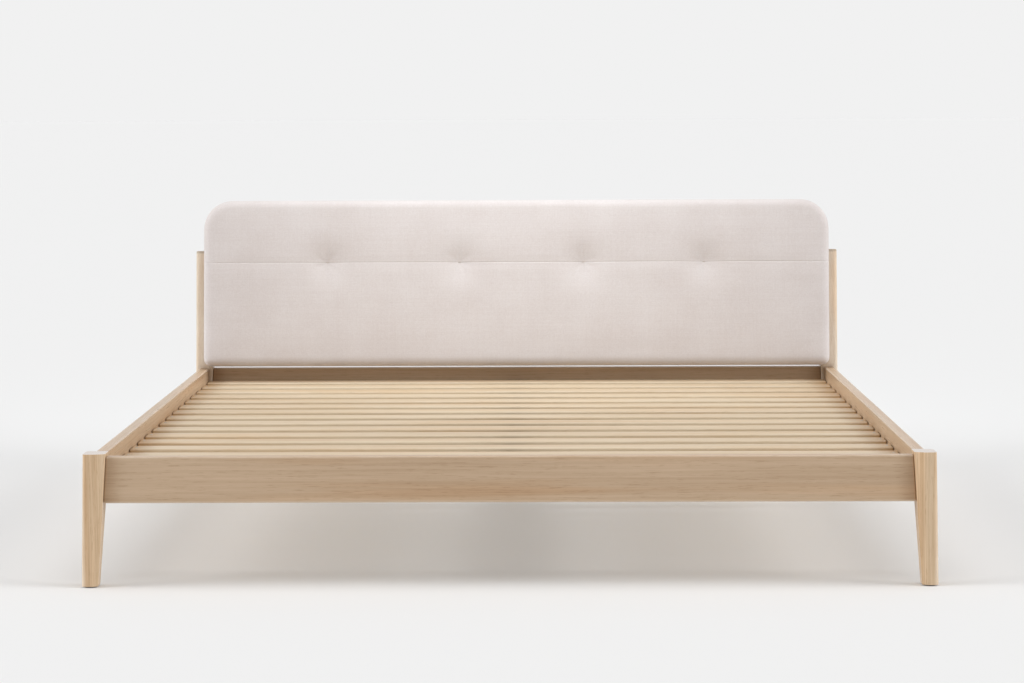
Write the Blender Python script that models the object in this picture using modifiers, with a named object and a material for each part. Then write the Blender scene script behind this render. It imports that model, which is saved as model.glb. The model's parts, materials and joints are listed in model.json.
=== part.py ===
"""A low ash bed frame for a 180 x 200 cm mattress, with tapered legs and an upholstered headboard.

+X is to the right seen from the foot end, +Y runs from the foot to the head, and +Z is up.
The origin is on the floor, under the middle of the whole bed. All lengths are in metres.
"""

import math

import bmesh
import bpy
from mathutils import Vector

# Driving dimensions
GAP = 0.0003
HALF_DEPTH = 1.1103
HALF_WIDTH_TOP = 0.944
HALF_WIDTH_FOOT = 0.950
LEG_HEIGHT = 0.2985
LEG_TOP_WIDTH = 0.050
LEG_FOOT_WIDTH = 0.036
LEG_TOP_DEPTH = 0.065
LEG_FOOT_DEPTH = 0.042
LEG_FACET_TOP = (0.023, 0.010)
LEG_FACET_FOOT = (0.013, 0.007)
LEG_TAPER_START = 0.180
LEG_CORNER = 0.009
LEG_INNER_CORNER = 0.0035
FACET_BLEND = 0.010
ARC_STEPS = 5
LEG_RIM = 0.0015
POST_RIM = 0.003
RIM_ANGLE = math.radians(40)
GLIDE_HEIGHT = 0.002
GLIDE_RADIUS = 0.014
GLIDE_CHAMFER = 0.0006

RAIL_TOP = 0.291
RAIL_BOTTOM = 0.1875
RAIL_THICKNESS = 0.027
RAIL_ROUND = 0.0025
FOOT_RAIL_INSET = 0.016
SIDE_RAIL_INSET = 0.012
HEAD_RAIL_INSET = 0.012

MATTRESS_LENGTH = 2.000
MATTRESS_ROOM = 0.030
RAKE = math.radians(7.2)
POST_KINK = 0.300
POST_TOP = 0.635
POST_DEPTH = 0.060
POST_TOP_DEPTH = 0.034
POST_WIDTH = 0.050

PANEL_BASE = 0.305
PANEL_WIDTH = 1.831
PANEL_HEIGHT = 0.4855
PANEL_CORNER = 0.085
PANEL_LOW_CORNER = 0.022
PANEL_ROUND = 0.024
COVER_WALL = 0.0018
FOAM_THICKNESS = 0.051
CORE_THICKNESS = 0.016
CLOTH_THICKNESS = 0.0012
CLOTH_INSET = 0.014
SEAM_HEIGHT = 0.3014
TUFT_PLACES = (-0.551, -0.165, 0.196, 0.549)
TIE_RADIUS = 0.002
TOGGLE_RADIUS = 0.011
TOGGLE_THICKNESS = 0.003
TOGGLE_SINK = 0.0006
TIE_ROOM = 0.001
TIE_DEPTH = 0.014
CROSS_RAIL_THICKNESS = 0.022
CROSS_RAIL_LOW = 0.200
CROSS_RAIL_HIGH = 0.280
BOLT_RADIUS = 0.003
BOLT_HEAD_RADIUS = 0.0065
BOLT_HEAD_HEIGHT = 0.004
BOLT_HEAD_CHAMFER = 0.001
BOLT_ROOM = 0.0004
BOLT_TIP = 0.004
BOLT_END_ROOM = 0.001
BOLT_PLACES = (-0.75, -0.25, 0.25, 0.75)

TENON_LENGTH = 0.015
TENON_THICKNESS = 0.012
TENON_HEIGHT = 0.070
TENON_ROOT = 0.010
CROSS_TENON_THICKNESS = 0.010
CROSS_TENON_SHOULDER = 0.010
OVERCUT = 0.010
HOOK_PLATE = (0.018, 0.003, 0.084)
KEEPER_THICKNESS = 0.0025
HOOK_THICKNESS = 0.0025
HOOK_REACH = 0.012
HOOK_HEIGHT = 0.016
HOOK_NOSE = 0.004
HOOK_TIP = 0.005
HOOK_ROOT = 0.002
HOOK_SPREAD = 0.022
HOOK_PLAY = 0.0008
HOOK_POCKET = 0.0135
HOOK_POCKET_WIDTH = 0.0055
HOOK_POCKET_HEIGHT = 0.072

SLAT_COUNT = 16
SLAT_WIDTH = 0.070
SLAT_THICKNESS = 0.020
SLAT_MARGIN = 0.012
SLAT_SIDE_ROOM = 0.002
LEDGE_WIDTH = 0.025
LEDGE_HEIGHT = 0.030
LEDGE_TOP = 0.235
LEDGE_END_ROOM = 0.012
BEAM_WIDTH = 0.060
BEAM_HEIGHT = 0.040
BEAM_WALL = 0.0025
HANGER_PLATE = 0.003
HANGER_LENGTH = 0.045
HANGER_ROOM = 0.0005
HANGER_LOW_SIDE = 0.004
LEDGE_ROUND = 0.002
SLAT_ROUND = 0.003
BEAM_ROUND = 0.003
TURNED_STEPS = 16

# Places worked out from them
FRONT = -HALF_DEPTH
LEG_BACK = FRONT + LEG_TOP_DEPTH
FOOT_RAIL_FRONT = FRONT + FOOT_RAIL_INSET
FOOT_RAIL_BACK = FOOT_RAIL_FRONT + RAIL_THICKNESS
PANEL_FRONT = FOOT_RAIL_BACK + MATTRESS_LENGTH + MATTRESS_ROOM
FOAM_FRONT = COVER_WALL + GAP
CORE_FRONT = FOAM_FRONT + FOAM_THICKNESS + GAP
CORE_BACK = CORE_FRONT + CORE_THICKNESS
CLOTH_FRONT = CORE_BACK + GAP
PANEL_BACK = CLOTH_FRONT + CLOTH_THICKNESS + GAP
POST_FRONT = PANEL_FRONT + (POST_KINK - PANEL_BASE) * math.tan(RAKE) + (PANEL_BACK + GAP) / math.cos(RAKE)
POST_BACK = POST_FRONT + POST_DEPTH
HEAD_RAIL_FRONT = POST_FRONT + HEAD_RAIL_INSET
SIDE_RAIL_OUTER = HALF_WIDTH_TOP - SIDE_RAIL_INSET
SIDE_RAIL_INNER = SIDE_RAIL_OUTER - RAIL_THICKNESS
SIDE_RAIL_MIDDLE = (SIDE_RAIL_OUTER + SIDE_RAIL_INNER) / 2
RAIL_MIDDLE = (RAIL_TOP + RAIL_BOTTOM) / 2
FOOT_BASE = GLIDE_HEIGHT + GAP
SIDES = {"left": -1, "right": 1}


# Scene, materials and collections
def clear_scene():
    for obj in list(bpy.data.objects):
        bpy.data.objects.remove(obj, do_unlink=True)


def new_collection(name):
    collection = bpy.data.collections.new(name)
    bpy.context.scene.collection.children.link(collection)
    return collection


def principled(name, color, roughness, metallic=0.0):
    material = bpy.data.materials.new(name)
    material.use_nodes = True
    shader = material.node_tree.nodes["Principled BSDF"]
    shader.inputs["Base Color"].default_value = (*color, 1.0)
    shader.inputs["Roughness"].default_value = roughness
    shader.inputs["Metallic"].default_value = metallic
    material.diffuse_color = (*color, 1.0)
    return material


clear_scene()
PARTS = new_collection("bed_frame")
CUTTERS = new_collection("cutters")

ASH = principled("ash", (0.56, 0.40, 0.26), 0.45)
BIRCH = principled("birch", (0.66, 0.53, 0.38), 0.55)
PLYWOOD = principled("plywood", (0.60, 0.47, 0.33), 0.60)
COVER_FABRIC = principled("cover_fabric", (0.72, 0.62, 0.57), 0.90)
FOAM = principled("foam", (0.80, 0.78, 0.70), 0.95)
DUST_CLOTH = principled("dust_cloth", (0.30, 0.28, 0.26), 0.95)
CORD = principled("cord", (0.62, 0.54, 0.48), 0.85)
BLACK_STEEL = principled("black_steel", (0.04, 0.04, 0.045), 0.40)
ZINC_STEEL = principled("zinc_steel", (0.62, 0.62, 0.60), 0.35, 1.0)
GLIDE_PLASTIC = principled("glide_plastic", (0.18, 0.15, 0.12), 0.60)


# Shapes
def add_mesh(name, shape, material, collection=None):
    """A new object from a bmesh, with its faces pointing out."""
    bmesh.ops.recalc_face_normals(shape, faces=shape.faces)
    mesh = bpy.data.meshes.new(name)
    shape.to_mesh(mesh)
    shape.free()
    if material:
        mesh.materials.append(material)
    obj = bpy.data.objects.new(name, mesh)
    (collection or PARTS).objects.link(obj)
    return obj


def box_shape(low, high):
    """A bmesh box between two corners."""
    shape = bmesh.new()
    bmesh.ops.create_cube(shape, size=1.0)
    for vert in shape.verts:
        vert.co = [low[i] if vert.co[i] < 0 else high[i] for i in range(3)]
    return shape


def add_box(name, low, high, material, rounding=0.0, segments=2):
    obj = add_mesh(name, box_shape(low, high), material)
    if rounding:
        add_bevel(obj, rounding, segments)
    return obj


def add_bevel(obj, width, segments=2, angle=math.radians(15)):
    bevel = obj.modifiers.new("rounded_edges", "BEVEL")
    bevel.width = width
    bevel.segments = segments
    bevel.limit_method = "ANGLE"
    bevel.angle_limit = angle
    return bevel


def add_loft(name, sections, material):
    """A closed solid through sections of equal point count, from the lowest to the highest."""
    shape = bmesh.new()
    rings = [[shape.verts.new(point) for point in section] for section in sections]
    for low, high in zip(rings, rings[1:]):
        for i, vert in enumerate(low):
            after = (i + 1) % len(low)
            shape.faces.new((vert, low[after], high[after], high[i]))
    shape.faces.new(rings[0])
    shape.faces.new(rings[-1])
    return add_mesh(name, shape, material)


def turned_shape(name, profile, material, parent=None, location=(0, 0, 0), along_y=False):
    """A solid of revolution: profile points are (radius, height) down the outer side, top to bottom."""
    shape = bmesh.new()
    verts = [shape.verts.new((radius, 0.0, height)) for radius, height in profile]
    for upper, lower in zip(verts, verts[1:]):
        shape.edges.new((upper, lower))
    mesh = bpy.data.meshes.new(name)
    shape.to_mesh(mesh)
    shape.free()
    mesh.materials.append(material)
    obj = bpy.data.objects.new(name, mesh)
    PARTS.objects.link(obj)
    screw = obj.modifiers.new("turned", "SCREW")
    screw.steps = TURNED_STEPS
    screw.render_steps = TURNED_STEPS
    screw.use_merge_vertices = True
    screw.merge_threshold = 0.0001
    obj.parent = parent
    obj.location = location
    if along_y:
        obj.rotation_euler = (-math.pi / 2, 0, 0)
    return obj


def cut(obj, cutter):
    """Takes the cutter's shape out of the object."""
    boolean = obj.modifiers.new("cut_" + cutter.name, "BOOLEAN")
    boolean.operation = "DIFFERENCE"
    boolean.solver = "EXACT"
    boolean.object = cutter


def join(obj, helper):
    """Adds the helper's shape to the object."""
    boolean = obj.modifiers.new("join_" + helper.name, "BOOLEAN")
    boolean.operation = "UNION"
    boolean.solver = "EXACT"
    boolean.object = helper


def hide_helper(obj, parent):
    obj.parent = parent
    obj.hide_render = True
    obj.display_type = "WIRE"
    return obj


def box_helper(name, low, high, parent=None):
    return hide_helper(add_mesh(name, box_shape(low, high), None, CUTTERS), parent)


def rod_helper(name, radius, middle, start, end, parent=None):
    """A cutting cylinder along Y through (x, z) middle, from start to end."""
    shape = bmesh.new()
    bmesh.ops.create_cone(
        shape, cap_ends=True, segments=TURNED_STEPS, radius1=radius, radius2=radius, depth=end - start
    )
    for vert in shape.verts:
        x, y, z = vert.co
        vert.co = (middle[0] + x, (start + end) / 2 + z, middle[1] - y)
    return hide_helper(add_mesh(name, shape, None, CUTTERS), parent)


def in_order(first, second):
    return (first, second) if first < second else (second, first)


# Legs and posts
def rounded_outline(corners):
    """An outline whose corners, given as (x, y, radius), are turned into arcs."""
    points = []
    for index, (x, y, radius) in enumerate(corners):
        corner = Vector((x, y))
        before = (Vector(corners[index - 1][:2]) - corner).normalized()
        after = (Vector(corners[(index + 1) % len(corners)][:2]) - corner).normalized()
        half = before.angle(after) / 2
        centre = corner + (before + after).normalized() * radius / math.sin(half)
        start = corner + before * radius / math.tan(half) - centre
        end = corner + after * radius / math.tan(half) - centre
        points += [centre + start.slerp(end, step / ARC_STEPS) * radius for step in range(ARC_STEPS + 1)]
    return points


def leg_inner(z):
    """How far a leg's or post's inner face is from the middle plane, at a height under the rails' top."""
    share = (LEG_HEIGHT - z) / (LEG_HEIGHT - FOOT_BASE)
    top = HALF_WIDTH_TOP - LEG_TOP_WIDTH
    foot = HALF_WIDTH_FOOT - LEG_FOOT_WIDTH
    return top + (foot - top) * share


def leg_outer(z):
    share = (LEG_HEIGHT - z) / (LEG_HEIGHT - FOOT_BASE)
    return HALF_WIDTH_TOP + (HALF_WIDTH_FOOT - HALF_WIDTH_TOP) * share


def leg_section(z, side):
    """A foot leg's outline at one height, with the wide shallow facet on its inner front corner."""
    share = (LEG_HEIGHT - z) / (LEG_HEIGHT - FOOT_BASE)
    facet_width = LEG_FACET_TOP[0] + (LEG_FACET_FOOT[0] - LEG_FACET_TOP[0]) * share
    facet_depth = LEG_FACET_TOP[1] + (LEG_FACET_FOOT[1] - LEG_FACET_TOP[1]) * share
    taper = max(0.0, (LEG_TAPER_START - z) / (LEG_TAPER_START - FOOT_BASE))
    back = FRONT + LEG_TOP_DEPTH + (LEG_FOOT_DEPTH - LEG_TOP_DEPTH) * taper
    corners = (
        (leg_outer(z), FRONT, LEG_CORNER),
        (leg_outer(z), back, LEG_CORNER),
        (leg_inner(z), back, LEG_INNER_CORNER),
        (leg_inner(z), FRONT + facet_depth, LEG_INNER_CORNER),
        (leg_inner(z) + facet_width, FRONT, FACET_BLEND),
    )
    return [(side * x, y, z) for x, y in rounded_outline(corners)]


def make_foot_legs():
    for name, side in SIDES.items():
        heights = (FOOT_BASE, LEG_TAPER_START, LEG_HEIGHT)
        leg = add_loft(f"foot_leg_{name}", [leg_section(z, side) for z in heights], ASH)
        add_bevel(leg, LEG_RIM, angle=RIM_ANGLE)
        cut(leg, tenon_box(f"foot_mortise_{name}", side, FOOT_RAIL_FRONT, GAP))
        cut_keeper_seat(leg, f"foot_{name}", side, LEG_BACK, -1)


def post_section(z, side, front, back, back_drop=0.0):
    """A post's outline at one height, whose back edge may lie lower, as where the top is cut square."""
    outer = leg_outer(min(z, LEG_HEIGHT))
    inner = outer - POST_WIDTH if z > LEG_HEIGHT else leg_inner(z)
    corners = (
        (outer, front, LEG_CORNER),
        (outer, back, LEG_CORNER),
        (inner, back, LEG_INNER_CORNER),
        (inner, front, LEG_INNER_CORNER),
    )
    fall = back_drop / (back - front)
    return [(side * x, y, z - fall * (y - front)) for x, y in rounded_outline(corners)]


def raked_front(z):
    return POST_FRONT + (z - POST_KINK) * math.tan(RAKE)


def make_head_posts():
    """Each post is upright up to the rails' top and leans back from there, thinning towards its top."""
    top_front = raked_front(POST_TOP)
    top_back = top_front + POST_TOP_DEPTH
    top_drop = POST_TOP_DEPTH * math.tan(RAKE)
    for name, side in SIDES.items():
        sections = [
            post_section(FOOT_BASE, side, POST_BACK - LEG_FOOT_DEPTH, POST_BACK),
            post_section(LEG_TAPER_START, side, POST_FRONT, POST_BACK),
            post_section(POST_KINK, side, POST_FRONT, POST_BACK),
            post_section(POST_TOP, side, top_front, top_back, top_drop),
        ]
        post = add_loft(f"head_post_{name}", sections, ASH)
        add_bevel(post, POST_RIM, angle=RIM_ANGLE)
        cut(post, tenon_box(f"head_mortise_{name}", side, HEAD_RAIL_FRONT, GAP))
        cut(post, cross_tenon_box(f"cross_mortise_{name}", side, GAP))
        cut_keeper_seat(post, f"head_{name}", side, POST_FRONT, 1)


def make_glides():
    profile = (
        (0, GLIDE_HEIGHT),
        (GLIDE_RADIUS - GLIDE_CHAMFER, GLIDE_HEIGHT),
        (GLIDE_RADIUS, GLIDE_HEIGHT - GLIDE_CHAMFER),
        (GLIDE_RADIUS, 0),
        (0, 0),
    )
    for name, side in SIDES.items():
        x = side * (HALF_WIDTH_FOOT - LEG_FOOT_WIDTH / 2)
        middle = LEG_FOOT_DEPTH / 2
        turned_shape(f"glide_foot_{name}", profile, GLIDE_PLASTIC, location=(x, FRONT + middle, 0))
        turned_shape(f"glide_head_{name}", profile, GLIDE_PLASTIC, location=(x, POST_BACK - middle, 0))


# Rails and their joints
def tenon_box(name, side, rail_front, room=0.0):
    """The stub tenon at one end of a foot or head rail, or with room the mortise for it."""
    middle = rail_front + RAIL_THICKNESS / 2
    start = leg_inner(RAIL_TOP) - TENON_ROOT
    end = leg_inner(RAIL_BOTTOM) + TENON_LENGTH + room
    low_x, high_x = in_order(side * start, side * end)
    half = TENON_THICKNESS / 2 + room
    tall = TENON_HEIGHT / 2 + room
    low = (low_x, middle - half, RAIL_MIDDLE - tall)
    high = (high_x, middle + half, RAIL_MIDDLE + tall)
    return box_helper(name, low, high)


def add_cross_bed_rail(name, rail_front):
    """A rail along X whose ends follow the slope of the legs, with a stub tenon at each end."""
    shape = box_shape((-1.0, rail_front, RAIL_BOTTOM), (1.0, rail_front + RAIL_THICKNESS, RAIL_TOP))
    for vert in shape.verts:
        vert.co.x = math.copysign(leg_inner(vert.co.z) - GAP, vert.co.x)
    rail = add_mesh(name, shape, ASH)
    add_bevel(rail, RAIL_ROUND)
    for end, side in SIDES.items():
        join(rail, tenon_box(f"{name}_tenon_{end}", side, rail_front))
    return rail


def hook_recess(name, side, face, direction, depth, size, room):
    """A box sunk into an end face: face is its Y, and direction points out of the wood."""
    half_x = size[0] / 2 + room
    half_z = size[1] / 2 + room
    x = side * SIDE_RAIL_MIDDLE
    low_y, high_y = in_order(face - direction * depth, face + direction * OVERCUT)
    low = (x - half_x, low_y, RAIL_MIDDLE - half_z)
    high = (x + half_x, high_y, RAIL_MIDDLE + half_z)
    return box_helper(name, low, high)


def cut_keeper_seat(post, corner, side, face, toward_head):
    """Sinks the keeper plate's seat, and the pocket behind it that the hooks reach into."""
    direction = -toward_head
    size = (HOOK_PLATE[0], HOOK_PLATE[2])
    depth = KEEPER_THICKNESS + 2 * GAP
    seat = hook_recess(f"keeper_seat_{corner}", side, face, direction, depth, size, GAP)
    pocket_size = (HOOK_POCKET_WIDTH, HOOK_POCKET_HEIGHT)
    pocket = hook_recess(f"hook_pocket_{corner}", side, face, direction, HOOK_POCKET, pocket_size, 0)
    cut(post, seat)
    cut(post, pocket)


def make_side_rail(name, side):
    low_y, high_y = LEG_BACK + GAP, POST_FRONT - GAP
    low_x, high_x = in_order(side * SIDE_RAIL_INNER, side * SIDE_RAIL_OUTER)
    low = (low_x, low_y, RAIL_BOTTOM)
    high = (high_x, high_y, RAIL_TOP)
    rail = add_box(f"side_rail_{name}", low, high, ASH, RAIL_ROUND)
    size = (HOOK_PLATE[0], HOOK_PLATE[2])
    for corner, face, direction in (("foot", low_y, -1), ("head", high_y, 1)):
        depth = HOOK_PLATE[1] + GAP
        cut(rail, hook_recess(f"plate_seat_{corner}_{name}", side, face, direction, depth, size, GAP))
        make_hook_plate(f"rail_hook_{corner}_{name}", side, face, direction)
        make_keeper(f"rail_keeper_{corner}_{name}", side, face + direction * GAP, direction)


def plate_box(name, side, span):
    """A steel plate in the middle of a side rail's end, over a range of Y."""
    x = side * SIDE_RAIL_MIDDLE
    half_x, half_z = HOOK_PLATE[0] / 2, HOOK_PLATE[2] / 2
    low = (x - half_x, span[0], RAIL_MIDDLE - half_z)
    high = (x + half_x, span[1], RAIL_MIDDLE + half_z)
    return add_box(name, low, high, ZINC_STEEL)


def upright_blade(name, side, half_x, span, low_z, high_z):
    """A helper box centred on a side rail's thickness."""
    x = side * SIDE_RAIL_MIDDLE
    return box_helper(name, (x - half_x, span[0], low_z), (x + half_x, span[1], high_z))


def make_hook_plate(name, side, face, direction):
    """A steel plate in the rail's end with two hooks that drop behind the keeper plate."""
    plate = plate_box(name, side, in_order(face - direction * HOOK_PLATE[1], face))
    half = HOOK_THICKNESS / 2
    tip = face + direction * HOOK_REACH
    for end, offset in (("lower", -HOOK_SPREAD), ("upper", HOOK_SPREAD)):
        low_z = RAIL_MIDDLE + offset - HOOK_HEIGHT / 2
        high_z = low_z + HOOK_HEIGHT
        reach = in_order(face - direction * HOOK_ROOT, tip)
        join(plate, upright_blade(f"{name}_{end}_arm", side, half, reach, low_z + HOOK_NOSE, high_z))
        nose = in_order(tip - direction * HOOK_TIP, tip)
        nose_top = (low_z + HOOK_NOSE + high_z) / 2
        join(plate, upright_blade(f"{name}_{end}_nose", side, half, nose, low_z, nose_top))


def make_keeper(name, side, face, direction):
    """The slotted steel plate that is sunk into the leg or post, flush with its face."""
    span = in_order(face + direction * GAP, face + direction * (GAP + KEEPER_THICKNESS))
    keeper = plate_box(name, side, span)
    half = HOOK_THICKNESS / 2 + HOOK_PLAY
    through = (span[0] - OVERCUT, span[1] + OVERCUT)
    for end, offset in (("lower", -HOOK_SPREAD), ("upper", HOOK_SPREAD)):
        low_z = RAIL_MIDDLE + offset - HOOK_HEIGHT / 2 + HOOK_NOSE - GAP
        high_z = RAIL_MIDDLE + offset + HOOK_HEIGHT / 2 + HOOK_NOSE
        cut(keeper, upright_blade(f"{name}_{end}_slot", side, half, through, low_z, high_z))


# Mattress support
def make_ledge(name, side):
    outer = SIDE_RAIL_INNER - GAP
    low_x, high_x = in_order(side * outer, side * (outer - LEDGE_WIDTH))
    low = (low_x, LEG_BACK + LEDGE_END_ROOM, LEDGE_TOP - LEDGE_HEIGHT)
    high = (high_x, POST_FRONT - LEDGE_END_ROOM, LEDGE_TOP)
    add_box(f"slat_ledge_{name}", low, high, BIRCH, LEDGE_ROUND)


def make_slats():
    first = FOOT_RAIL_BACK + SLAT_MARGIN + SLAT_WIDTH / 2
    last = POST_FRONT - SLAT_MARGIN - SLAT_WIDTH / 2
    pitch = (last - first) / (SLAT_COUNT - 1)
    base = LEDGE_TOP + GAP
    for index in range(SLAT_COUNT):
        middle = first + index * pitch
        half_length = slat_limit(middle, base) - SLAT_SIDE_ROOM
        low = (-half_length, middle - SLAT_WIDTH / 2, base)
        high = (half_length, middle + SLAT_WIDTH / 2, base + SLAT_THICKNESS)
        add_box(f"slat_{index + 1:02d}", low, high, BIRCH, SLAT_ROUND)


def slat_limit(middle, base):
    """Where a slat's end meets the rail, or for the slat beside the foot legs, the legs."""
    beside_leg = middle - SLAT_WIDTH / 2 < LEG_BACK
    return leg_inner(base + SLAT_THICKNESS) if beside_leg else SIDE_RAIL_INNER


def make_centre_beam():
    """A rectangular steel tube from the foot rail to the head rail, open at both ends."""
    start = FOOT_RAIL_BACK + GAP + HANGER_PLATE + HANGER_ROOM
    end = HEAD_RAIL_FRONT - GAP - HANGER_PLATE - HANGER_ROOM
    half = BEAM_WIDTH / 2
    low = (-half, start, LEDGE_TOP - BEAM_HEIGHT)
    high = (half, end, LEDGE_TOP)
    beam = add_box("centre_beam", low, high, BLACK_STEEL, BEAM_ROUND)
    inner_low = (low[0] + BEAM_WALL, start - OVERCUT, low[2] + BEAM_WALL)
    inner_high = (high[0] - BEAM_WALL, end + OVERCUT, high[2] - BEAM_WALL)
    cut(beam, box_helper("beam_bore", inner_low, inner_high))


def make_hanger(name, face, direction):
    """A folded steel shoe on a rail's inner face that the beam's end drops into, open at its top."""
    half = BEAM_WIDTH / 2 + HANGER_ROOM
    base = LEDGE_TOP - BEAM_HEIGHT - GAP
    top = LEDGE_TOP - HANGER_LOW_SIDE
    outer = in_order(face + direction * GAP, face + direction * (GAP + HANGER_LENGTH))
    low = (-half - HANGER_PLATE, outer[0], base - HANGER_PLATE)
    high = (half + HANGER_PLATE, outer[1], top)
    shoe = add_box(f"beam_hanger_{name}", low, high, ZINC_STEEL)
    inner = in_order(face + direction * (GAP + HANGER_PLATE), face + direction * (HANGER_LENGTH + OVERCUT))
    hollow_low = (-half, inner[0], base)
    hollow_high = (half, inner[1], top + OVERCUT)
    cut(shoe, box_helper(f"hanger_hollow_{name}", hollow_low, hollow_high))


# Headboard
def panel_shape(half_width, low, high, front, back, corner, low_corner, rounding):
    """An upright board with round corners, and with rounding a softened front edge."""
    shape = box_shape((-half_width, front, low), (half_width, back, high))
    for is_top, radius, segments in ((True, corner, 8), (False, low_corner, 3)):
        middle = (low + high) / 2
        edges = [
            edge
            for edge in shape.edges
            if abs(edge.verts[0].co.y - edge.verts[1].co.y) > (back - front) / 2
            and (edge.verts[0].co.z > middle) == is_top
        ]
        bmesh.ops.bevel(shape, geom=edges, offset=radius, segments=segments, affect="EDGES", profile=0.5)
    if rounding:
        edges = [edge for edge in shape.edges if all(abs(vert.co.y - front) < 1e-6 for vert in edge.verts)]
        bmesh.ops.bevel(shape, geom=edges, offset=rounding, segments=4, affect="EDGES", profile=0.5)
    return shape


def make_cover(tilt):
    """The sewn cover: a shell over the front and sides of the foam and the core, open at the back."""
    shape = panel_shape(
        PANEL_WIDTH / 2 - COVER_WALL,
        COVER_WALL,
        PANEL_HEIGHT - COVER_WALL,
        COVER_WALL,
        CORE_BACK,
        PANEL_CORNER - COVER_WALL,
        PANEL_LOW_CORNER - COVER_WALL,
        PANEL_ROUND - COVER_WALL,
    )
    back = [face for face in shape.faces if all(abs(vert.co.y - CORE_BACK) < 1e-6 for vert in face.verts)]
    bmesh.ops.delete(shape, geom=back, context="FACES")
    cover = add_mesh("headboard_cover", shape, COVER_FABRIC)
    wall = cover.modifiers.new("wall", "SOLIDIFY")
    wall.thickness = COVER_WALL
    wall.offset = 1
    wall.use_even_offset = True
    cover.parent = tilt
    return cover


def inner_panel(name, front, back, rounding, material, tilt, inset=0.0):
    """A board that fits inside the cover, less an inset all round."""
    shrink = COVER_WALL + GAP + inset
    shape = panel_shape(
        PANEL_WIDTH / 2 - shrink,
        shrink,
        PANEL_HEIGHT - shrink,
        front,
        back,
        PANEL_CORNER - shrink,
        PANEL_LOW_CORNER - min(shrink, 0.014),
        rounding,
    )
    obj = add_mesh(name, shape, material)
    obj.parent = tilt
    return obj


def make_headboard():
    tilt = bpy.data.objects.new("headboard_tilt", None)
    PARTS.objects.link(tilt)
    tilt.location = (0, PANEL_FRONT, PANEL_BASE)
    tilt.rotation_euler = (-RAKE, 0, 0)
    make_cover(tilt)
    rounding = PANEL_ROUND - COVER_WALL - GAP
    foam = inner_panel("headboard_foam", FOAM_FRONT, CORE_FRONT - GAP, rounding, FOAM, tilt)
    core = inner_panel("headboard_core", CORE_FRONT, CORE_BACK, 0.0, PLYWOOD, tilt)
    cloth_back = CLOTH_FRONT + CLOTH_THICKNESS
    cloth = inner_panel(
        "headboard_back_cloth", CLOTH_FRONT, cloth_back, 0.0, DUST_CLOTH, tilt, CLOTH_INSET
    )
    hole_front = FOAM_FRONT + TIE_DEPTH - TIE_ROOM
    for index, x in enumerate(TUFT_PLACES):
        number = index + 1
        place = (x, SEAM_HEIGHT)
        hole_radius = TIE_RADIUS + TIE_ROOM
        hole = rod_helper(f"tie_hole_{number}", hole_radius, place, hole_front, CORE_BACK + OVERCUT, tilt)
        sink_radius = TOGGLE_RADIUS + TIE_ROOM
        sink_start = CORE_BACK - TOGGLE_THICKNESS - 2 * TOGGLE_SINK
        sink = rod_helper(f"toggle_sink_{number}", sink_radius, place, sink_start, CORE_BACK + OVERCUT, tilt)
        cut(foam, hole)
        cut(core, hole)
        cut(core, sink)
        make_tuft_tie(number, x, tilt)
    cross_rail = make_cross_rail(tilt)
    middle = (CROSS_RAIL_LOW + CROSS_RAIL_HIGH) / 2
    hole_start = CORE_FRONT + BOLT_TIP - BOLT_END_ROOM
    hole_end = cross_rail_back() + OVERCUT
    for index, x in enumerate(BOLT_PLACES):
        number = index + 1
        place = (x, middle)
        hole = rod_helper(f"bolt_hole_{number}", BOLT_RADIUS + BOLT_ROOM, place, hole_start, hole_end, tilt)
        for board in (core, cloth, cross_rail):
            cut(board, hole)
        make_bolt(number, x, middle, tilt)


def make_tuft_tie(number, x, tilt):
    """A twine tie that pulls the cover in, with the toggle that anchors it in the back of the core."""
    back = CORE_BACK - TOGGLE_SINK
    front = FOAM_FRONT + TIE_DEPTH
    profile = (
        (0, back),
        (TOGGLE_RADIUS, back),
        (TOGGLE_RADIUS, back - TOGGLE_THICKNESS),
        (TIE_RADIUS, back - TOGGLE_THICKNESS),
        (TIE_RADIUS, front),
        (0, front),
    )
    turned_shape(f"tuft_tie_{number}", profile, CORD, tilt, (x, 0, SEAM_HEIGHT), along_y=True)


def cross_rail_back():
    return PANEL_BACK + GAP + CROSS_RAIL_THICKNESS


def make_bolt(number, x, z, tilt):
    seat = cross_rail_back() + GAP
    tip = CORE_FRONT + BOLT_TIP
    profile = (
        (0, seat + BOLT_HEAD_HEIGHT),
        (BOLT_HEAD_RADIUS - BOLT_HEAD_CHAMFER, seat + BOLT_HEAD_HEIGHT),
        (BOLT_HEAD_RADIUS, seat + BOLT_HEAD_HEIGHT - BOLT_HEAD_CHAMFER),
        (BOLT_HEAD_RADIUS, seat),
        (BOLT_RADIUS, seat),
        (BOLT_RADIUS, tip),
        (0, tip),
    )
    turned_shape(f"headboard_bolt_{number}", profile, ZINC_STEEL, tilt, (x, 0, z), along_y=True)


def make_cross_rail(tilt):
    """The rail behind the panel, tenoned into both posts, that the panel is bolted to."""
    half = HALF_WIDTH_TOP - POST_WIDTH - GAP
    low = (-half, PANEL_BACK + GAP, CROSS_RAIL_LOW)
    high = (half, cross_rail_back(), CROSS_RAIL_HIGH)
    rail = add_box("headboard_cross_rail", low, high, ASH, RAIL_ROUND)
    rail.parent = tilt
    for name, side in SIDES.items():
        join(rail, cross_tenon_box(f"cross_tenon_{name}", side, 0.0))
    return rail


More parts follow.
